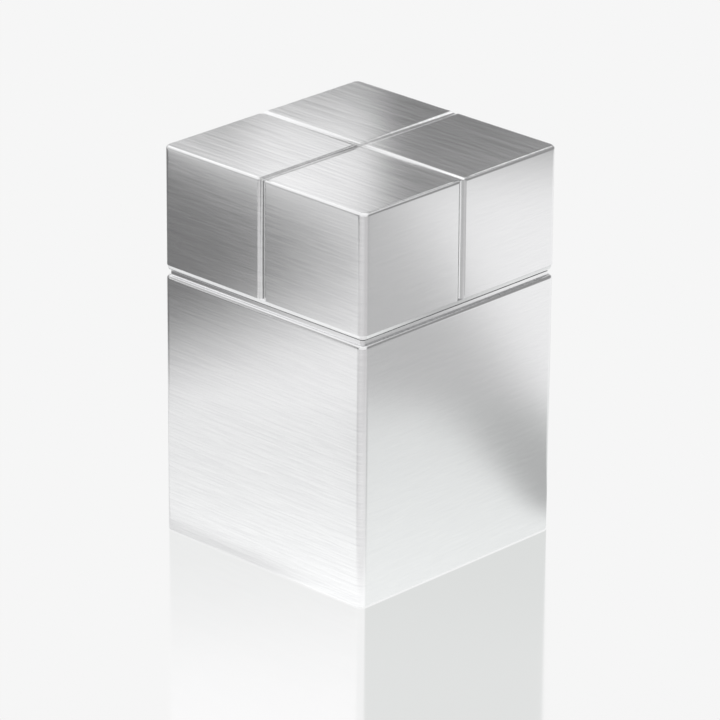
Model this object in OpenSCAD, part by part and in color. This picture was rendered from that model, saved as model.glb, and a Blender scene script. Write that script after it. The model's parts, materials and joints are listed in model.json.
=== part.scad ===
// Square cryptex: a case with a code-disc pack inside, and a turning, lift-off head that carries the vault.
// Millimetres. Z is up, the base stands on z = 0, and the axis of the lock is the Z axis.
// It is drawn at rest with the code set, so the pegs line up with the notches of all four discs.

/* [Body] */
// side of the square footprint
side = 50; // [44:1:60]
// height of the case's outer wall, up to the lower lip of the waist
body_h = 49.5; // [49:0.5:52]
// radius of the upright edges
edge_r = 1.5; // [1:0.25:3]
// chamfer of the bottom edge
foot_c = 0.3; // [0.1:0.1:1]
// bore of the case
bore_r = 21.5; // [21:0.1:21.5]
// thickness of the base plate
base_t = 3; // [2:0.25:4]

/* [Waist] */
// depth of the waist groove
waist_d = 0.75; // [0.4:0.05:1.2]
// height of the lower slope of the waist
waist_low = 0.75; // [0.4:0.05:1.2]
// height of the upright wall of the waist
waist_mid = 0.75; // [0.4:0.05:1.2]
// height of the upper slope of the waist
waist_up = 1.1; // [0.6:0.05:1.6]
// gap between the case and the head
head_gap = 0.1; // [0.05:0.05:0.3]

/* [Head] */
// overall height
total_h = 75; // [70:0.5:80]
// chamfer round the top
top_c = 0.6; // [0.3:0.1:1.2]
// width of the hollow grooves between the blocks
groove_w = 1.8; // [1.2:0.1:3]
// depth of the hollow grooves
groove_d = 0.3; // [0.2:0.05:0.6]
// half of the seam between two blocks
seam = 0.02; // [0.01:0.01:0.1]
// height of the plate's pad inside the blocks
pad_t = 2.8; // [2:0.1:5]

/* [Vault] */
// outer radius of the vault tube
vault_r = 13; // [12:0.5:14]
// wall of the vault tube
vault_wall = 2; // [1.5:0.25:3]
// radius of the vault's spigot in the bush
spigot_r = 15.95; // [15:0.05:16]
// bottom of the vault tube above the floor
vault_z = 6; // [4:0.5:10]
// radius of a peg
peg_r = 1.2; // [0.8:0.1:1.3]
// reach of a peg from the axis
peg_reach = 15.5; // [15:0.1:15.6]

/* [Lock] */
// number of code discs is four; this is the step from one to the next
pitch = 6; // [6:0.1:6.2]
// thickness of a code disc
disc_t = 2.8; // [2.4:0.1:2.8]
// thickness of a spacer ring
spacer_t = 3; // [2.6:0.1:3]
// play above and below each turning ring
play = 0.1; // [0.05:0.05:0.2]
// outer radius of the turning rings
disc_r = 21.42; // [21:0.01:21.45]
// inner radius of the turning rings
disc_in = 13.4; // [13.3:0.1:13.6]
// width of the code notch
notch_w = 3.4; // [3:0.1:4]
// reach of the code notch from the axis
notch_reach = 15.9; // [15.7:0.1:16.2]
// radius of a pickup pin
pin_r = 0.75; // [0.5:0.05:0.9]
// circle on which the pickup pins sit
pin_at = 17.3; // [17:0.1:17.5]
// how far a pickup pin stands out
pin_out = 2.2; // [1.8:0.1:2.4]

/* [Fasteners] */
// distance of the base screws from the axis, along X and Y
base_screw_at = 19.5; // [19:0.25:20]
// distance of the block screws from the axis, along X and Y
block_screw_at = 15; // [14.5:0.25:15.5]
// circle on which the vault screws sit
vault_screw_at = 13.5; // [13.4:0.1:13.6]
// distance of the magnets from the axis, along X and Y
magnet_at = 20; // [19.5:0.25:20.5]
// radius of a magnet
magnet_r = 2; // [1.5:0.25:2]
// thickness of a magnet
magnet_t = 2; // [1:0.25:2]

/* [Hidden] */
$fn = 96;
half = side / 2;
core = half - edge_r;
neck = half - waist_d;
neck_r = edge_r - waist_d;
z_neck = body_h + waist_low;
z_case = z_neck + waist_mid;
z_plate = z_case + head_gap;
z_block = z_plate + waist_up;
z_pad = z_block + pad_t;
rim = half - 0.05;
pad = half - 2.4;
// radius of the hollow that gives a groove its width and depth
groove_r = (groove_w * groove_w / 4 + groove_d * groove_d) / (2 * groove_d);
z_deck = z_case - 5;
bush_in = spigot_r + 0.05;
bush_out = 17.5;
washer_t = 0.6;
ring_t = 2.5;
z_ring = z_deck - washer_t - play - ring_t;
z_top_spacer = z_ring - play - spacer_t;
z_disc_4 = z_top_spacer - play - disc_t;
z_disc_3 = z_disc_4 - pitch;
z_disc_2 = z_disc_3 - pitch;
z_disc_1 = z_disc_2 - pitch;
spacer_in = 18.8;
spacer_out = bore_r - 0.03;
z_low_spacer = z_disc_1 - play - spacer_t;
z_snap = z_low_spacer - 2.7;
snap_t = 1.2;
aluminium = [0.80, 0.80, 0.81];
steel = [0.62, 0.63, 0.65];
brass = [0.80, 0.64, 0.30];
bronze = [0.70, 0.50, 0.28];
nickel = [0.74, 0.75, 0.76];
white = [0.92, 0.92, 0.90];

// ---- shared shapes ----

// upright prism with a rounded square outline
module rounded_prism(z0, z1, h, r) {
  translate([0, 0, z0])
    linear_extrude(height = z1 - z0)
      union() {
        square([2 * h, 2 * (h - r)], center = true);
        square([2 * (h - r), 2 * h], center = true);
        for (x = [-1, 1], y = [-1, 1])
          translate([x * (h - r), y * (h - r)])
            circle(r = r);
      }
}

// the same with sloping sides; the centres of the corner arcs stay at c
module rounded_taper(z0, z1, h0, h1, c) {
  outline = [[-h0, z0], [h0, z0], [h1, z1], [-h1, z1]];
  for (x = [-1, 1], y = [-1, 1])
    translate([x * c, y * c, z0])
      cylinder(h = z1 - z0, r1 = h0 - c, r2 = h1 - c);
  rotate([90, 0, 0])
    linear_extrude(height = 2 * c, center = true)
      polygon(outline);
  rotate([90, 0, 90])
    linear_extrude(height = 2 * c, center = true)
      polygon(outline);
}

// flat ring
module ring(z0, t, r0, r1) {
  translate([0, 0, z0])
    rotate_extrude()
      polygon([[r0, 0], [r1, 0], [r1, t], [r0, t]]);
}

// children at the four corners of a square
module corners(at) {
  for (x = [-1, 1], y = [-1, 1])
    translate([x * at, y * at, 0])
      children();
}

// countersunk screw with its head down at z0
module countersunk(z0, head_r, head_h, shank_r, length, key_r) {
  difference() {
    union() {
      translate([0, 0, z0])
        cylinder(h = head_h, r1 = head_r, r2 = shank_r);
      translate([0, 0, z0 + head_h])
        cylinder(h = length - head_h, r = shank_r);
    }
    translate([0, 0, z0 - 1])
      cylinder(h = 2, r = key_r, $fn = 6);
  }
}

// ---- body ----

module body_case() {
  color(aluminium)
    difference() {
      union() {
        rounded_taper(0, foot_c, half - foot_c, half, core);
        rounded_prism(foot_c, body_h, half, edge_r);
        rounded_taper(body_h, z_neck, half, neck, core);
        rounded_prism(z_neck, z_case, neck, neck_r);
      }
      rounded_prism(-1, base_t + 0.05, half - 2, 1.5);
      translate([0, 0, base_t])
        cylinder(h = z_deck - base_t, r = bore_r);
      translate([0, 0, z_deck - 1])
        cylinder(h = 7, r = bush_out + 0.02);
      rotate(45)
        translate([bore_r - 2, -1.6, base_t])
          cube([3.6, 3.2, z_ring - play - base_t]);
      translate([0, 0, z_snap - 0.05])
        cylinder(h = snap_t + 0.1, r = bore_r + 1);
      corners(magnet_at)
        translate([0, 0, z_case - magnet_t - 0.1])
          cylinder(h = magnet_t + 1, r = magnet_r + 0.03);
      corners(base_screw_at)
        translate([0, 0, 1])
          cylinder(h = 11, r = 1.28);
    }
}

module base_plate() {
  color(aluminium)
    difference() {
      rounded_prism(0, base_t, half - 2.05, 1.45);
      corners(base_screw_at)
        union() {
          translate([0, 0, -0.05])
            cylinder(h = 1.7, r1 = 2.65, r2 = 1.35);
          cylinder(h = base_t + 1, r = 1.35);
        }
    }
}

module base_screws() {
  color(steel)
    corners(base_screw_at)
      countersunk(0.1, 2.5, 1.25, 1.25, 11, 0.85);
}

module deck_bush() {
  color(bronze)
    translate([0, 0, z_deck])
      rotate_extrude()
        polygon([[bush_in, 0], [bush_out, 0], [bush_out, 4.95], [bush_in + 0.35, 4.95],
          [bush_in, 4.6]]);
}

module thrust_washer() {
  color(white)
    ring(z_deck - washer_t, washer_t, 16.6, bore_r - 0.1);
}

// flat ring with a tab that stops it turning in the case
module keyed_spacer(z0) {
  color(steel)
    difference() {
      union() {
        ring(z0, spacer_t, spacer_in, spacer_out);
        rotate(45)
          translate([spacer_out - 1, -1.5, z0])
            cube([2.5, 3, spacer_t]);
      }
      translate([0, 0, z0 - 1])
        cylinder(h = spacer_t + 2, r = spacer_in);
    }
}

module disc_spring() {
  color(steel)
    translate([0, 0, z_snap + snap_t])
      rotate_extrude()
        polygon([[19, 0.05], [21.3, 0.75], [21.3, 1.45], [19, 0.75]]);
}

module retaining_ring() {
  color(steel)
    difference() {
      union() {
        difference() {
          ring(z_snap, snap_t, 18.9, bore_r + 0.9);
          translate([-4.5, -30, z_snap - 1])
            cube([9, 20, snap_t + 2]);
        }
        for (s = [-1, 1])
          translate([s * 5.6, -18.6, z_snap])
            cylinder(h = snap_t, r = 1.7);
      }
      for (s = [-1, 1])
        translate([s * 5.6, -18.6, z_snap - 1])
          cylinder(h = snap_t + 2, r = 0.7);
    }
}

module body_magnets() {
  color(nickel)
    corners(magnet_at)
      translate([0, 0, z_case - magnet_t - 0.05])
        cylinder(h = magnet_t, r = magnet_r);
}

// ---- drive ring ----

module drive_ring() {
  color(steel)
    difference() {
      ring(z_ring, ring_t, disc_in - 0.1, disc_r);
      translate([-1.4, -notch_reach, z_ring - 1])
        cube([2.8, notch_reach, ring_t + 2]);
      translate([pin_at, 0, z_ring - 1])
        cylinder(h = ring_t + 2, r = pin_r + 0.02);
    }
}

module drive_pin() {
  color(steel)
    translate([pin_at, 0, z_ring - pin_out])
      cylinder(h = pin_out + ring_t - 0.2, r = pin_r);
}

// ---- code discs ----

// outline of a notch towards -Y, cut to the given reach
module notch(z0, h, w, reach) {
  translate([-w / 2, -(reach - w / 2), z0])
    cube([w, reach - w / 2, h]);
  translate([0, -(reach - w / 2), z0])
    cylinder(h = h, r = w / 2);
}

// disc with one through notch, three false notches from below, and the holes for its pins
module code_disc(z0, up, down) {
  color(brass)
    difference() {
      ring(z0, disc_t, disc_in, disc_r);
      notch(z0 - 1, disc_t + 2, notch_w, notch_reach);
      for (a = [90, 180, 270])
        rotate(a)
          notch(z0 - 1, 1.6, notch_w, notch_reach);
      for (a = [up, down])
        rotate(a)
          translate([pin_at, 0, z0 - 1])
            cylinder(h = disc_t + 2, r = pin_r + 0.02);
    }
}

// one pin up towards the disc above, and one down towards the disc below
module disc_pins(z0, up, down) {
  color(steel) {
    rotate(up)
      translate([pin_at, 0, z0 + 0.2])
        cylinder(h = disc_t - 0.2 + pin_out, r = pin_r);
    rotate(down)
      translate([pin_at, 0, z0 - pin_out])
        cylinder(h = disc_t - 0.2 + pin_out, r = pin_r);
  }
}

module bottom_pin(z0, up) {
  color(steel)
    rotate(up)
      translate([pin_at, 0, z0 + 0.2])
        cylinder(h = disc_t - 0.2 + pin_out, r = pin_r);
}

// ---- head ----

module head_plate() {
  color(aluminium)
    difference() {
      union() {
        rounded_taper(z_plate, z_block, neck, rim, core);
        rounded_prism(z_block - 0.5, z_pad, pad, 1);
      }
      corners(block_screw_at)
        union() {
          translate([0, 0, z_plate - 0.05])
            cylinder(h = 1.75, r1 = 2.95, r2 = 1.6);
          translate([0, 0, z_plate])
            cylinder(h = z_pad, r = 1.6);
        }
      corners(magnet_at)
        translate([0, 0, z_plate - 1])
          cylinder(h = magnet_t + 1.1, r = magnet_r + 0.03);
      for (a = [45:90:315])
        rotate(a)
          translate([vault_screw_at, 0, 0])
            union() {
              translate([0, 0, z_plate - 1])
                cylinder(h = 6, r = 1.35);
              translate([0, 0, z_pad - 1.6])
                cylinder(h = 3, r = 2.3);
            }
    }
}

// one of the four blocks; sx and sy are the signs of its quarter
module cube_block(sx, sy) {
  color(aluminium)
    difference() {
      intersection() {
        union() {
          rounded_prism(z_block, total_h - top_c, half, edge_r);
          rounded_taper(total_h - top_c, total_h, half, half - top_c, core);
        }
        translate([sx > 0 ? seam : -seam - side, sy > 0 ? seam : -seam - side, z_block - 1])
          cube([side, side, total_h]);
      }
      translate([0, 0, total_h - groove_d + groove_r])
        rotate([90, 0, 0])
          cylinder(h = 2 * side, r = groove_r, center = true);
      translate([0, 0, total_h - groove_d + groove_r])
        rotate([0, 90, 0])
          cylinder(h = 2 * side, r = groove_r, center = true);
      translate([0, sy * (half - groove_d + groove_r), z_block - 1])
        cylinder(h = total_h, r = groove_r);
      translate([sx * (half - groove_d + groove_r), 0, z_block - 1])
        cylinder(h = total_h, r = groove_r);
      rounded_prism(z_block - 1, z_pad + 0.05, pad + 0.05, 1.05);
      translate([sx * block_screw_at, sy * block_screw_at, z_pad - 1])
        cylinder(h = 12, r = 1.53);
    }
}

module block_screws() {
  color(steel)
    corners(block_screw_at)
      countersunk(z_plate + 0.05, 2.8, 1.6, 1.5, 14, 1.1);
}

module vault_tube() {
  inner = vault_r - vault_wall;
  color(aluminium)
    difference() {
      rotate_extrude()
        polygon([[inner, vault_z + 0.4], [inner + 0.4, vault_z], [vault_r - 0.4, vault_z],
          [vault_r, vault_z + 0.4], [vault_r, z_deck + 0.2], [spigot_r - 0.3, z_deck + 0.2],
          [spigot_r, z_deck + 0.5], [spigot_r, z_plate], [inner, z_plate]]);
      for (z = [z_disc_1, z_disc_2, z_disc_3, z_disc_4])
        translate([0, 0, z - play - spacer_t / 2])
          rotate([90, 0, 0])
            cylinder(h = side, r = peg_r + 0.02);
      translate([0, 0, z_ring + ring_t / 2])
        rotate([90, 0, 0])
          cylinder(h = side, r = peg_r + 0.02);
      for (a = [45:90:315])
        rotate(a)
          translate([vault_screw_at, 0, z_deck + 0.6])
            cylinder(h = 10, r = 1.27);
    }
}

// radial peg pointing to -Y
module peg(z0) {
  translate([0, 0, z0])
    rotate([90, 0, 0])
      union() {
        translate([0, 0, vault_r - vault_wall + 0.1])
          cylinder(h = peg_reach - vault_r + vault_wall - 0.4, r = peg_r);
        translate([0, 0, peg_reach - 0.3])
          cylinder(h = 0.3, r1 = peg_r, r2 = peg_r - 0.3);
      }
}

module vault_pegs() {
  color(steel) {
    peg(z_disc_1 - play - spacer_t / 2);
    peg(z_disc_2 - play - spacer_t / 2);
    peg(z_disc_3 - play - spacer_t / 2);
    peg(z_disc_4 - play - spacer_t / 2);
    peg(z_ring + ring_t / 2);
  }
}

module vault_screws() {
  color(steel)
    for (a = [45:90:315])
      rotate(a)
        translate([vault_screw_at, 0, 0])
          difference() {
            union() {
              translate([0, 0, z_deck + 0.9])
                cylinder(h = z_pad - 1.6 - z_deck - 0.9, r = 1.25);
              translate([0, 0, z_pad - 1.6])
                cylinder(h = 1.5, r = 2.2);
            }
            translate([0, 0, z_pad - 0.9])
              cylinder(h = 2, r = 1.1, $fn = 6);
          }
}

module head_magnets() {
  color(nickel)
    corners(magnet_at)
      translate([0, 0, z_plate + 0.05])
        cylinder(h = magnet_t, r = magnet_r);
}

// ---- nodes ----

body_case();
base_plate();
base_screws();
deck_bush();
thrust_washer();
keyed_spacer(z_low_spacer);  // spacer_ring_1
keyed_spacer(z_low_spacer + pitch);  // spacer_ring_2
keyed_spacer(z_low_spacer + 2 * pitch);  // spacer_ring_3
keyed_spacer(z_low_spacer + 3 * pitch);  // spacer_ring_4
keyed_spacer(z_low_spacer + 4 * pitch);  // spacer_ring_5
disc_spring();
retaining_ring();
body_magnets();
drive_ring();
drive_pin();
code_disc(z_disc_1, 175, 175);  // code_disc_1
bottom_pin(z_disc_1, 175);  // disc_pins_1
code_disc(z_disc_2, 55, 130);  // code_disc_2
disc_pins(z_disc_2, 55, 130);  // disc_pins_2
code_disc(z_disc_3, 165, 10);  // code_disc_3
disc_pins(z_disc_3, 165, 10);  // disc_pins_3
code_disc(z_disc_4, 45, 120);  // code_disc_4
disc_pins(z_disc_4, 45, 120);  // disc_pins_4
head_plate();
cube_block(-1, -1);  // cube_front_left
cube_block(1, -1);  // cube_front_right
cube_block(-1, 1);  // cube_back_left
cube_block(1, 1);  // cube_back_right
block_screws();
vault_tube();
vault_pegs();
vault_screws();
head_magnets();
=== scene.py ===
import json
import math

import bmesh
import bpy
from mathutils import Matrix, Vector


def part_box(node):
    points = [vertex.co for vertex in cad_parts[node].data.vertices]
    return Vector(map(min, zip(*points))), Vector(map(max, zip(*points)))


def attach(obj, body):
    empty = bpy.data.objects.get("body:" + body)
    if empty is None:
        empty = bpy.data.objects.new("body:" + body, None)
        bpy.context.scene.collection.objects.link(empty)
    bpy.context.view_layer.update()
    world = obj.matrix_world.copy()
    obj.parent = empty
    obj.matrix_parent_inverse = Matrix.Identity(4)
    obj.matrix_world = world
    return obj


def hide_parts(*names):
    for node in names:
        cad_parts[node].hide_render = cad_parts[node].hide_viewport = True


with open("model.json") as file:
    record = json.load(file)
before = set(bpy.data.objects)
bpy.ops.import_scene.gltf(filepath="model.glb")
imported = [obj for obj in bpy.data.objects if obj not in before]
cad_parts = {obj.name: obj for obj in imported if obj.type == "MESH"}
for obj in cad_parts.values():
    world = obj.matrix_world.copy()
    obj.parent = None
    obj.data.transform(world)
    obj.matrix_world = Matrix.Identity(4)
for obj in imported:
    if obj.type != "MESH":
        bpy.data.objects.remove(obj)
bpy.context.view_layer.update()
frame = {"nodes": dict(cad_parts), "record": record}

MM = 0.001
SCENE = bpy.context.scene

# ---------------------------------------------------------------- sizes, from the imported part
_, case_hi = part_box("body_case")
plate_lo, plate_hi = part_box("head_plate")
block_lo, block_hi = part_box("cube_back_right")
magnet_lo, magnet_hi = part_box("body_magnets")
_, screw_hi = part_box("block_screws")

HALF = case_hi.x
Z_CASE = case_hi.z
Z_PLATE, Z_PAD = plate_lo.z, plate_hi.z
Z_BLOCK, Z_TOP = block_lo.z, block_hi.z
# half the gap between two blocks
SEAM = block_lo.x
# the upright edges' rounding, and where its centres stand
EDGE_R = 1.5 * MM
CORE = HALF - EDGE_R
# the waist: its depth, and where the case's lip under it starts and ends
WAIST_D = 0.75 * MM
NECK = HALF - WAIST_D
Z_LIP = Z_CASE - 1.5 * MM
Z_NECK = Z_CASE - 0.75 * MM
# the hollow grooves between the blocks: half width, depth, radius and the rounding of their lips
GROOVE_W = 0.9 * MM
GROOVE_D = 0.3 * MM
GROOVE_R = (GROOVE_W ** 2 + GROOVE_D ** 2) / (2 * GROOVE_D)
LIP = 0.15 * MM
# the rounding of the blocks' top edges
TOP_R = 0.6 * MM
# the seats of the magnets and of the block screws
MAG_R = 2.03 * MM
MAG_AT = magnet_hi.x - 2.0 * MM
SCREW_AT = screw_hi.x - 2.8 * MM

CORNERS = [(1, 1), (-1, 1), (-1, -1), (1, -1)]

# ---------------------------------------------------------------- mesh helpers
# vertices closer than this are one
MERGE = 2e-7
# edges that turn further than this are drawn sharp
SHARP = math.radians(35.0)


def mark_sharp(bm):
    """Shades every face smooth, with a sharp line at each edge that turns far."""
    for f in bm.faces:
        f.smooth = True
    for e in bm.edges:
        if len(e.link_faces) == 2:
            e.smooth = e.calc_face_angle(0.0) < SHARP


def new_object(name, bm):
    """Turns bm into an object of the scene."""
    mesh = bpy.data.meshes.new(name)
    bmesh.ops.remove_doubles(bm, verts=bm.verts, dist=MERGE)
    bmesh.ops.recalc_face_normals(bm, faces=bm.faces)
    mark_sharp(bm)
    bm.to_mesh(mesh)
    bm.free()
    obj = bpy.data.objects.new(name, mesh)
    SCENE.collection.objects.link(obj)
    w = obj.modifiers.new("normals", "WEIGHTED_NORMAL")
    w.keep_sharp = True
    w.weight = 100
    return obj


def soften(points, steps=6):
    """Rounds the corners of an open polyline of (a, z, radius)."""
    almost_half = 0.49
    out = []
    for i, (a, z, r) in enumerate(points):
        if r == 0 or i in (0, len(points) - 1):
            out.append((a, z))
            continue
        p = Vector((a, z))
        u = Vector(points[i - 1][:2]) - p
        v = Vector(points[i + 1][:2]) - p
        turn = math.pi - u.angle(v)
        cut = min(r * math.tan(turn / 2), almost_half * u.length, almost_half * v.length)
        p0, p1 = p + u.normalized() * cut, p + v.normalized() * cut
        for k in range(steps + 1):
            t = k / steps
            # a quadratic through the corner is near enough to the arc at this size
            q = p0 * (1 - t) ** 2 + p * 2 * t * (1 - t) + p1 * t * t
            out.append((q.x, q.y))
    return out


def square_loop(half, z, core=CORE, arc=12, along=14):
    """Rounded square whose corner arcs keep their centres at core."""
    sides = [(-1, 0, 0), (0, -1, 0), (1, 0, 0), (0, 1, 0)]
    r, pts = half - core, []
    for q, ((cx, cy), way) in enumerate(zip(CORNERS, sides)):
        for k in range(arc + 1):
            a = math.radians(90 * q + 90 * k / arc)
            pts.append(Vector((cx * core + r * math.cos(a), cy * core + r * math.sin(a), z)))
        end = pts[-1]
        step = Vector(way) * (2 * core)
        for k in range(1, along):
            pts.append(end + step * (k / along))
    return pts


def circle_loop(radius, z, like):
    """Circle with one point in the direction of each point of like."""
    return [Vector((p.x, p.y, 0)).normalized() * radius + Vector((0, 0, z)) for p in like]


def loft(bm, loops, closed=False):
    """Skins a row of loops; closed joins the last to the first."""
    rows = [[bm.verts.new(p) for p in loop] for loop in loops]
    following = rows[1:] + rows[:1] if closed else rows[1:]
    for a, b in zip(rows, following):
        n = len(a)
        for i in range(n):
            j = (i + 1) % n
            quad = [a[i], a[j], b[j], b[i]]
            if len({v.co.to_tuple(8) for v in quad}) > 2:
                bm.faces.new(quad)
    return rows


def round_tool(x, y, z0, z1, r0, r1, count=48):
    """Closed round cutter with radius r0 at z0 and r1 at z1."""
    bm = bmesh.new()
    turns = [2 * math.pi * k / count for k in range(count)]
    lo = [bm.verts.new((x + r0 * math.cos(t), y + r0 * math.sin(t), z0)) for t in turns]
    hi = [bm.verts.new((x + r1 * math.cos(t), y + r1 * math.sin(t), z1)) for t in turns]
    for i in range(count):
        j = (i + 1) % count
        bm.faces.new((lo[i], lo[j], hi[j], hi[i]))
    bm.faces.new(lo[::-1])
    bm.faces.new(hi)
    return bm


def cut_corners(obj, at, z0, z1, r0, r1):
    """Cuts a round seat into obj at each corner of a square and keeps the result as its mesh."""
    for sx, sy in CORNERS:
        c = round_tool(sx * at, sy * at, z0, z1, r0, r1)
        mesh = bpy.data.meshes.new("cutter")
        bmesh.ops.recalc_face_normals(c, faces=c.faces)
        c.to_mesh(mesh)
        c.free()
        tool = bpy.data.objects.new("cutter", mesh)
        SCENE.collection.objects.link(tool)
        m = obj.modifiers.new("cut", "BOOLEAN")
        m.operation, m.solver, m.object = "DIFFERENCE", "EXACT", tool
        dg = bpy.context.evaluated_depsgraph_get()
        done = bpy.data.meshes.new_from_object(obj.evaluated_get(dg))
        obj.modifiers.remove(m)
        obj.data = done
        bpy.data.objects.remove(tool)
    # the cuts leave their rims unmarked, with normals worked out before them
    baked = obj.data.attributes.get("custom_normal")
    if baked:
        obj.data.attributes.remove(baked)
    bm = bmesh.new()
    bm.from_mesh(obj.data)
    mark_sharp(bm)
    bm.to_mesh(obj.data)
    bm.free()


# ---------------------------------------------------------------- node helpers
def rgb(v):
    return (v[0], v[1], v[2], 1.0)


class Nodes:
    """Short spelling for a node tree."""

    def __init__(self, tree):
        self.t = tree

    def plug(self, socket, v):
        """Links v into socket when it is an output, else sets it as the value."""
        if isinstance(v, bpy.types.NodeSocket):
            self.t.links.new(v, socket)
        else:
            socket.default_value = v

    def new(self, kind, values=None, **props):
        n = self.t.nodes.new(kind)
        for k, v in props.items():
            setattr(n, k, v)
        for k, v in (values or {}).items():
            self.plug(n.inputs[k], v)
        return n

    def math(self, op, a, b=0.0, c=0.0):
        return self.new("ShaderNodeMath", {0: a, 1: b, 2: c}, operation=op).outputs[0]

    def line(self, a, ka, b, kb, c=0.0):
        """ka a + kb b + c"""
        return self.math("MULTIPLY_ADD", a, ka, self.math("MULTIPLY_ADD", b, kb, c))

    def product(self, *f):
        v = f[0]
        for g in f[1:]:
            v = self.math("MULTIPLY", v, g)
        return v

    def less(self, level, *shades):
        """Takes each shade, a product of factors, off a light level."""
        for f in shades:
            level = self.math("SUBTRACT", level, self.product(*f))
        return level

    def ramp(self, value, lo, hi, a=0.0, b=1.0):
        """a below lo, b above hi, smooth between."""
        values = {0: value, 1: lo, 2: hi, 3: a, 4: b}
        return self.new("ShaderNodeMapRange", values, interpolation_type="SMOOTHSTEP").outputs[0]

    def noise(self, vector, scale, detail=2.0, rough=0.5):
        m = self.new("ShaderNodeMapping", {0: vector, 3: scale})
        values = {"Vector": m.outputs[0], "Scale": 1.0, "Detail": detail, "Roughness": rough}
        return self.new("ShaderNodeTexNoise", values).outputs["Fac"]

    def mix(self, fac, a, b):
        return self.new("ShaderNodeMix", {0: fac, 2: a, 3: b}, data_type="FLOAT").outputs[0]

    def blend(self, fac, a, b):
        return self.new("ShaderNodeMix", {0: fac, 6: a, 7: b}, data_type="RGBA").outputs[2]


def new_material(name):
    """An empty node material, with its nodes and its output node."""
    m = bpy.data.materials.new(name)
    m.use_nodes = True
    m.node_tree.nodes.clear()
    n = Nodes(m.node_tree)
    return m, n, n.new("ShaderNodeOutputMaterial")


# ---------------------------------------------------------------- finishes
# depth of the lines at full bump
BUMP_DEEP = 0.02 * MM
# noise scales in periods per metre along x, y and z
FINE_SIDE, FINE_TOP = (150, 330, 5200), (80, 2500, 170)
WIDE_SIDE, WIDE_TOP = (60, 110, 2400), (36, 1200, 70)
CLOUD_BRUSHED, CLOUD_TURNED = (60, 60, 90), (150, 150, 150)
GRIT = (3000, 3000, 6000)
# how square to an axis a face is before it counts as facing it
FACING = (0.55, 0.85)


def surface(n, out, colour, metallic, roughness, bump, height):
    """A principled surface with a bump from height."""
    b = n.new("ShaderNodeBump", {"Strength": bump, "Distance": BUMP_DEEP, "Height": height})
    bsdf = n.new("ShaderNodeBsdfPrincipled", {
        "Base Color": colour, "Metallic": metallic, "Roughness": roughness, "Normal": b.outputs[0]})
    n.plug(out.inputs[0], bsdf.outputs[0])


def brushed(name, light, dark, top_grain_and_shade, rough, swing, bump):
    """Straight brushing: level lines on upright faces, lines along X on the top."""
    m, n, out = new_material(name)
    tc = n.new("ShaderNodeTexCoord")
    pos = tc.outputs["Object"]
    normal = n.new("ShaderNodeSeparateXYZ", {0: tc.outputs["Normal"]}).outputs
    top = n.ramp(n.math("ABSOLUTE", normal[2]), *FACING)
    # the lines run along X, so the faces square to it are nearly plain
    plain = n.ramp(n.math("ABSOLUTE", normal[0]), *FACING)
    fine = n.mix(top, n.noise(pos, FINE_SIDE, 2.0, 0.6), n.noise(pos, FINE_TOP, 2.0, 0.6))
    wide = n.mix(top, n.noise(pos, WIDE_SIDE), n.noise(pos, WIDE_TOP))
    streak = n.line(fine, 0.6, wide, 0.4)
    streak = n.mix(plain, streak, n.math("MULTIPLY_ADD", streak, 0.3, 0.35))
    # the streaks blend from the dark to the light colour; on the top their dark end is darker than on the
    # sides, painted shade that dims the top over the real grain
    colour = n.blend(n.ramp(streak, 0.30, 0.70), n.blend(top, rgb(dark), rgb(top_grain_and_shade)), rgb(light))
    uneven = n.line(streak, 0.7, n.noise(pos, CLOUD_BRUSHED), 0.3)
    roughness = n.math("MULTIPLY_ADD", uneven, swing, rough - swing / 2)
    height = n.line(streak, 1.0, n.noise(pos, GRIT, 1.0), 0.12)
    surface(n, out, colour, 1.0, roughness, n.mix(top, bump, 5.0 * bump), height)
    return m


def turned(name, light, dark, rough, swing, bump, metallic=1.0, pitch=3000.0):
    """Lathe-turned: rings round the Z axis on walls, circles on flat faces."""
    m, n, out = new_material(name)
    pos = n.new("ShaderNodeTexCoord").outputs["Object"]
    x, y, z = n.new("ShaderNodeSeparateXYZ", {0: pos}).outputs
    radius = n.math("SQRT", n.math("ADD", n.math("MULTIPLY", x, x), n.math("MULTIPLY", y, y)))
    rings = n.new("ShaderNodeCombineXYZ", {0: radius, 1: 0.0, 2: z}).outputs[0]
    fine = n.noise(rings, (pitch, 1, pitch), 3.0, 0.6)
    tone = n.ramp(n.line(fine, 0.7, n.noise(pos, CLOUD_TURNED), 0.3), 0.3, 0.7)
    roughness = n.math("MULTIPLY_ADD", tone, swing, rough - swing / 2)
    surface(n, out, n.blend(tone, rgb(dark), rgb(light)), metallic, roughness, bump, fine)
    return m


# light and dark colour, roughness, its swing, bump; for the plastic also metallic and pitch
TURNED = {
    "turned_aluminium": ((0.92, 0.92, 0.925), (0.80, 0.80, 0.81), 0.24, 0.12, 0.20),
    "steel": ((0.66, 0.66, 0.67), (0.52, 0.53, 0.55), 0.22, 0.12, 0.2),
    "spring_steel": ((0.20, 0.21, 0.24), (0.10, 0.11, 0.14), 0.32, 0.15, 0.2),
    "nickel": ((0.76, 0.74, 0.70), (0.66, 0.64, 0.61), 0.14, 0.10, 0.08),
    "brass": ((0.86, 0.64, 0.26), (0.70, 0.48, 0.17), 0.24, 0.12, 0.25),
    "bronze": ((0.74, 0.47, 0.24), (0.58, 0.34, 0.16), 0.28, 0.12, 0.25),
    "white_plastic": ((0.90, 0.90, 0.88), (0.80, 0.80, 0.78), 0.50, 0.10, 0.15, 0.0, 1200.0),
}
MAT = {
    # the top's dark colour is partly grain and partly painted shade, set darker than the sides' to dim the top
    "satin_aluminium": brushed(
        "satin_aluminium", light=(0.93, 0.93, 0.935), dark=(0.83, 0.83, 0.84), top_grain_and_shade=(0.75, 0.75, 0.76),
        rough=0.22, swing=0.14, bump=0.06),
}
for slot_name, look in TURNED.items():
    MAT[slot_name] = turned(slot_name, *look)


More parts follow.
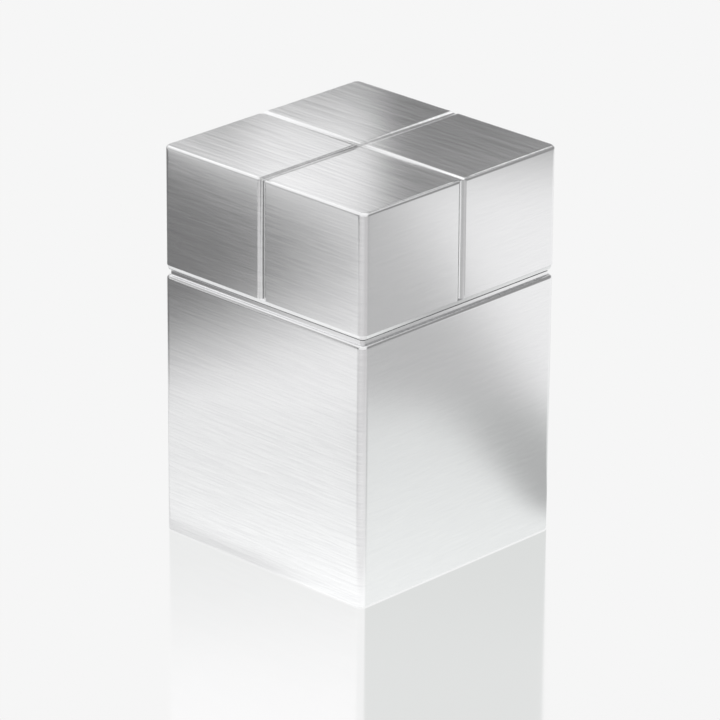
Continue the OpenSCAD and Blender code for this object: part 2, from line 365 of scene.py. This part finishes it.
def dress(obj, mat):
    obj.data.materials.clear()
    obj.data.materials.append(MAT[mat])


# every CAD node gets its finish; some are then replaced by finer meshes
FINISH = {s["node"]: s["material_slot"] for s in frame["record"]["subparts"]}
# the vault shares the aluminium's slot, but was turned
FINISH["vault_tube"] = "turned_aluminium"
for node_name, obj in frame["nodes"].items():
    for s in obj.material_slots:
        s.material = MAT[FINISH[node_name]]


# ---------------------------------------------------------------- the case
FOOT_R = 0.28 * MM
BUSH_R, BORE_R = 17.52 * MM, 21.5 * MM
DECK_T = 5 * MM
# the base plate's seat: depth, how far it stands in, the centres of its corner arcs and its edge break
SEAT_DEEP = 3.05 * MM
SEAT_IN = HALF - 2.0 * MM
SEAT_CORE = HALF - 3.5 * MM
SEAT_BREAK = 0.1 * MM


def build_case():
    profile = soften([(HALF - 0.6 * MM, 0.0, 0), (HALF, 0.0, FOOT_R), (HALF, Z_LIP - 0.01 * MM, 0)])
    # a quarter-round lip, then the neck
    for k in range(11):
        t = math.radians(88 * k / 10)
        profile.append((NECK + WAIST_D * math.cos(t), Z_LIP + (Z_NECK - Z_LIP) * math.sin(t)))
    profile += [
        (NECK, Z_NECK), (NECK, Z_CASE - 0.05 * MM), (NECK - 0.05 * MM, Z_CASE), (NECK - 1 * MM, Z_CASE),
    ]
    # a loop further in than the arcs' centres would turn inside out
    outer = [square_loop(max(a, CORE + 1e-5), z) for a, z in profile]
    inner = [circle_loop(radius, z, outer[0]) for radius, z in (
        (BUSH_R + 0.1 * MM, Z_CASE), (BUSH_R, Z_CASE - 0.1 * MM), (BUSH_R, Z_CASE - DECK_T),
        (BORE_R, Z_CASE - DECK_T), (BORE_R, SEAT_DEEP),
    )]
    inner += [square_loop(half, z, SEAT_CORE) for half, z in (
        (SEAT_IN, SEAT_DEEP), (SEAT_IN, SEAT_BREAK), (HALF - 1.9 * MM, 0.0),
    )]
    bm = bmesh.new()
    loft(bm, outer + inner, closed=True)
    return new_object("case_shell", bm)


case = build_case()
cut_corners(case, MAG_AT, magnet_lo.z - 0.05 * MM, Z_CASE + 1 * MM, MAG_R, MAG_R)
dress(case, "satin_aluminium")
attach(case, "body")
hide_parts("body_case")


# ---------------------------------------------------------------- the four blocks
def hollow_depth(off):
    """How deep a groove is at off from its middle."""
    return GROOVE_D - GROOVE_R + math.sqrt(GROOVE_R ** 2 - off ** 2)


def block_side(seam, inset):
    """Half of the (+, +) block's plan as (x, y), from its inner corner out along +X to its outer corner."""
    h = HALF - inset
    edge = GROOVE_R ** 2 - (GROOVE_R - GROOVE_D + inset) ** 2
    lip = max(math.sqrt(edge) if inset < GROOVE_D else 0.0, seam)
    back = min(LIP, (lip - seam) / 2)
    start = lip - back
    pts = [(seam, seam)]
    # the hollow
    for k in range(8):
        y = seam + (start - seam) * k / 7
        pts.append((min(HALF - hollow_depth(min(y, GROOVE_W)), h), y))
    # its rounded lip
    ax, ay = pts[-1]
    for k in range(1, 5):
        t = k / 4
        pts.append((
            ax * (1 - t) ** 2 + h * (2 * t * (1 - t) + t * t),
            ay * (1 - t) ** 2 + lip * 2 * t * (1 - t) + (lip + back) * t * t,
        ))
    # the flat face
    r = max(EDGE_R - inset, 0.3 * MM)
    for k in range(1, 12):
        pts.append((h, lip + back + (h - r - lip - back) * k / 12))
    # half of the upright edge
    for k in range(8):
        t = math.radians(45 * k / 7)
        pts.append((h - r + r * math.cos(t), h - r + r * math.sin(t)))
    return pts


def block_outline(seam, inset):
    first = block_side(seam, inset)
    return first + [(y, x) for x, y in first[-2:0:-1]]


def seam_at(depth):
    """How far the block's edge stands off the axis at a depth below the top, with the groove's lip rounded."""
    y0 = GROOVE_W - LIP
    d0 = hollow_depth(y0)
    if depth >= d0:
        square = GROOVE_R ** 2 - (GROOVE_R - GROOVE_D + depth) ** 2
        return max(SEAM, math.sqrt(max(0.0, square)) if depth < GROOVE_D else 0.0)
    u = math.sqrt(max(0.0, depth / d0))
    t = 1 - u
    return y0 * u * u + GROOVE_W * 2 * t * u + (GROOVE_W + LIP) * t * t


def block_levels():
    """(z, seam, inset) from the bottom to the top."""
    low = 0.04 * MM
    rows = [
        (Z_BLOCK, SEAM, low), (Z_BLOCK + low, SEAM, 0.0), (Z_BLOCK + 1 * MM, SEAM, 0.0),
        (Z_TOP - TOP_R - 1 * MM, SEAM, 0.0),
    ]
    # levels for the top edge, for the groove and for its lip, without near doubles
    depths = [TOP_R * (1 - math.sin(math.pi / 2 * k / 12)) for k in range(13)]
    depths += [GROOVE_D * k / 9 for k in range(1, 10)]
    depths += [hollow_depth(GROOVE_W - LIP) * (k / 5) ** 2 for k in range(1, 6)]
    kept = []
    for d in sorted(depths, reverse=True):
        if not kept or kept[-1] - d > 0.004 * MM:
            kept.append(d)
    kept[-1] = 0.0
    for d in kept:
        s = 1 - d / TOP_R
        rows.append((Z_TOP - d, seam_at(d), TOP_R * (1 - math.sqrt(max(0.0, 1 - s * s)))))
    return rows


def build_block(name, sx, sy):
    bm = bmesh.new()
    loops = [
        [Vector((x * sx, y * sy, z)) for x, y in block_outline(seam, inset)]
        for z, seam, inset in block_levels()
    ]
    loft(bm, loops)
    bmesh.ops.remove_doubles(bm, verts=bm.verts, dist=MERGE)
    for z in (loops[0][0].z, loops[-1][0].z):
        rim = [
            e for e in bm.edges
            if len(e.link_faces) == 1 and all(abs(v.co.z - z) < 1e-7 for v in e.verts)
        ]
        bmesh.ops.contextual_create(bm, geom=rim)
    return new_object(name, bm)


BLOCKS = {
    "cube_front_left": (-1, -1), "cube_front_right": (1, -1),
    "cube_back_left": (-1, 1), "cube_back_right": (1, 1),
}
for node_name, (sx, sy) in BLOCKS.items():
    block = build_block(node_name + "_block", sx, sy)
    dress(block, "satin_aluminium")
    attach(block, "head")
    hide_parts(node_name)


# ---------------------------------------------------------------- the head's plate, with its rounded rim
def build_plate():
    pad = HALF - 2.4 * MM
    profile = [(NECK - 0.05 * MM, Z_PLATE), (NECK, Z_PLATE + 0.05 * MM)]
    # the underside of the rim, a short rounding, and a slope leaning in under the blocks
    edge, top = (HALF - 0.26 * MM, Z_BLOCK - 0.62 * MM), (HALF - 0.02 * MM, Z_BLOCK)
    profile += soften([
        (NECK, edge[1] - 0.20 * MM, 0), (edge[0], edge[1] - 0.18 * MM, 0.18 * MM),
        (edge[0] + 0.02 * MM, edge[1], 0.10 * MM), top + (0,),
    ])
    loops = [square_loop(x, z) for x, z in profile]
    loops += [square_loop(pad, Z_BLOCK, pad - 1 * MM), square_loop(pad, Z_PAD, pad - 1 * MM)]
    bm = bmesh.new()
    rows = loft(bm, loops)
    bm.faces.new(rows[0])
    bm.faces.new(rows[-1])
    return new_object("head_rim_plate", bm)


plate = build_plate()
cut_corners(plate, MAG_AT, Z_PLATE - 1 * MM, Z_PLATE + 2.1 * MM, MAG_R, MAG_R)
# countersinks
cut_corners(plate, SCREW_AT, Z_PLATE - 0.05 * MM, Z_PLATE + 1.7 * MM, 2.95 * MM, 1.6 * MM)
dress(plate, "satin_aluminium")
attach(plate, "head")
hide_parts("head_plate")


# ---------------------------------------------------------------- camera
AZ, EL, ROLL = math.radians(43.90), math.radians(22.16), math.radians(0.41)
DIST = 19.43 * 2 * HALF
TARGET = Vector((0, 0, Z_TOP / 2))
back = Vector((math.sin(AZ) * math.cos(EL), -math.cos(AZ) * math.cos(EL), math.sin(EL)))
side = Vector((math.cos(AZ), math.sin(AZ), 0))
rise = back.cross(side)
cam_x = side * math.cos(ROLL) + rise * math.sin(ROLL)
cam_y = -side * math.sin(ROLL) + rise * math.cos(ROLL)
cam_data = bpy.data.cameras.new("camera")
cam_data.sensor_width = 36.0
cam_data.lens = 267.8
cam_data.shift_x = 0.0012
cam_data.shift_y = -0.0289
cam_data.clip_start, cam_data.clip_end = 0.01, 20.0
camera = bpy.data.objects.new("camera", cam_data)
SCENE.collection.objects.link(camera)
rot = Matrix((cam_x, cam_y, back)).transposed().to_4x4()
camera.matrix_world = Matrix.Translation(TARGET + back * DIST) @ rot
SCENE.camera = camera

# ---------------------------------------------------------------- floor, backdrop and light
SCENE.view_settings.view_transform = "Standard"
# the backdrop's level, and the share of the floor's light that is mirrored
WHITE = 0.9216
MIRROR = 0.30
FLOOR_R, FLOOR_Z, FLOOR_SIDES = 4, -0.00003, 96
# how far off the cards stand, how high they reach and where the one behind starts, in metres
REACH, LID, BACK_LOW = 0.095, 0.2, 0.094
# a card's darkest level
CARD_MIN = 0.06


def panel(name, corners):
    """A flat stage piece in studio axes, facing the side from which its corners run anticlockwise."""
    mesh = bpy.data.meshes.new(name)
    mesh.from_pydata(corners, [], [list(range(len(corners)))])
    obj = bpy.data.objects.new(name, mesh)
    SCENE.collection.objects.link(obj)
    obj.matrix_world = Matrix.Rotation(AZ, 4, "Z")
    m, n, out = new_material(name)
    mesh.materials.append(m)
    # a runs to the right of the main view, b towards its camera side and z up, in millimetres
    pos = n.new("ShaderNodeTexCoord").outputs["Object"]
    scaled = n.new("ShaderNodeVectorMath", {0: pos, 3: 1000.0}, operation="SCALE").outputs[0]
    a, away, z = n.new("ShaderNodeSeparateXYZ", {0: scaled}).outputs
    return obj, n, out, a, n.math("MULTIPLY", away, -1.0), z


def build_floor():
    turns = [2 * math.pi * k / FLOOR_SIDES for k in range(FLOOR_SIDES)]
    ring = [(FLOOR_R * math.cos(t), FLOOR_R * math.sin(t), FLOOR_Z) for t in turns]
    _, n, out, a, b, _ = panel("floor", ring)
    # the floor as the metal sees it: brighter close by, with a soft grey line to the right
    left = (n.ramp(a, 5, -80, 0.0, 0.25),)
    right = (n.ramp(a, 0, 80, 0.0, 0.14),)
    across = n.line(b, 0.96, a, -0.26, 17.4)
    band = (n.ramp(across, 12, 4), n.ramp(across, -16, -3), n.ramp(a, 34, 50), 0.56)
    near = (n.ramp(b, 34, 56, 0.0, 0.36),)
    far_front = (n.ramp(b, 88, 130), n.ramp(a, -60, 0, 0.1, 1.0), 0.26)
    # and a narrow shade along the foot of the left face
    foot = (n.ramp(n.line(a, 0.693, b, -0.72), -31, -26.5), n.ramp(n.line(a, 0.72, b, 0.693), 16, -4), 0.25)
    seen = n.less(1.24, left, right, band, near, far_front, foot)
    glow = n.mix(n.new("ShaderNodeLightPath").outputs["Is Glossy Ray"], WHITE, seen)
    # the gloss takes a little more green out of the glow than it gives back where nothing stands in it
    tint = (1.0, 0.94, 0.975)
    share = [(1 - MIRROR * t) / (1 - MIRROR) for t in tint]
    em = n.new("ShaderNodeEmission", {"Color": rgb(share), "Strength": glow})
    gloss = n.new("ShaderNodeBsdfAnisotropic", {"Color": rgb(tint), "Roughness": 0.07})
    mix = n.new("ShaderNodeMixShader", {0: MIRROR, 1: em.outputs[0], 2: gloss.outputs[0]})
    n.plug(out.inputs[0], mix.outputs[0])


def light_card(obj, n, out, level, again=None):
    """Lights a card; again is the level for what the floor mirrors a second time."""
    if again is not None:
        depth = n.new("ShaderNodeLightPath").outputs["Glossy Depth"]
        level = n.mix(n.math("GREATER_THAN", depth, 1.5), level, again)
    strength = n.math("MAXIMUM", level, CARD_MIN)
    em = n.new("ShaderNodeEmission", {"Color": (1, 1, 1, 1), "Strength": strength})
    n.plug(out.inputs[0], em.outputs[0])
    obj.visible_camera = False
    obj.visible_diffuse = False
    obj.visible_shadow = False
    obj.visible_transmission = False


def build_cards():
    """Four light cards close round the object, seen only in reflections."""
    r, t, low = REACH, LID, BACK_LOW

    # left: a dark opening above the floor, fading towards the front
    obj, n, out, _, b, z = panel("card_left", [(-r, -r, 0), (-r, r, 0), (-r, r, t), (-r, -r, t)])
    slant = n.line(z, 1, b, 0.5)
    dark = (n.ramp(n.line(z, 1, b, -0.3), -6, 24), n.ramp(b, 72, 10), n.ramp(slant, 57.5, 51.5), 0.81)
    front = (n.ramp(b, 40, 62), 0.27)
    shade = (n.ramp(slant, 62, 70), n.ramp(z, 112, 98), 0.50)
    light_card(obj, n, out, n.less(1.0, dark, front, shade), n.ramp(z, 30, 66, 0.70, 1.20))

    # right: grey low down and towards the front, greyer again above, white at the top
    obj, n, out, _, b, z = panel("card_right", [(r, -r, 0), (r, r, 0), (r, r, t), (r, -r, t)])
    lift = (n.ramp(n.line(z, 1, b, -1.6), 15, -9), n.ramp(z, 60, 45), 0.45)
    upper = (n.ramp(z, 41, 60), n.ramp(z, 150, 124), 0.66)
    high = (n.ramp(b, -24, -40), n.ramp(z, 140, 155), 0.80)
    light_card(obj, n, out, n.less(0.96, lift, upper, high), n.ramp(z, 30, 60, 0.24, 0.38))

    # behind: a bright strip, dark to its right, half dark below it and to its far left
    obj, n, out, a, _, z = panel("card_back", [(-r, r, low), (r, r, low), (r, r, t), (-r, r, t)])
    gap = n.less(1.0, (n.ramp(z, 126, 136), n.ramp(a, 29, 40)))
    dark = (n.ramp(n.math("ADD", a, n.ramp(z, 128, 137, 0.0, 10.0)), -1, 8.5), gap, 0.73)
    grey = (n.ramp(a, -16, -28), n.ramp(z, 116, 110), 0.64)
    below = (n.ramp(z, 108, 98.5), n.ramp(a, -40, -14), 0.80)
    rim = (n.ramp(a, 2, -6), n.ramp(a, -44, -32), n.ramp(z, 128, 132), n.ramp(z, 148, 142), 0.40)
    level = n.math("ADD", 1.00, n.ramp(z, 117, 127, 0.0, 0.27))
    for shade in (dark, grey, below, rim):
        level = n.math("MULTIPLY", level, n.less(1.0, shade))
    light_card(obj, n, out, level)

    # above: white, dark towards the back right
    obj, n, out, a, b, _ = panel("card_top", [(-r, -r, t), (r, -r, t), (r, r, t), (-r, r, t)])
    light_card(obj, n, out, n.less(1.10, (n.ramp(a, 20, 50), n.ramp(b, -10, -40), 0.80)))


build_floor()
build_cards()
world = bpy.data.worlds.new("studio")
world.use_nodes = True
SCENE.world = world
bg = world.node_tree.nodes["Background"]
bg.inputs[0].default_value = (WHITE, WHITE, WHITE, 1)
bg.inputs[1].default_value = 1.0
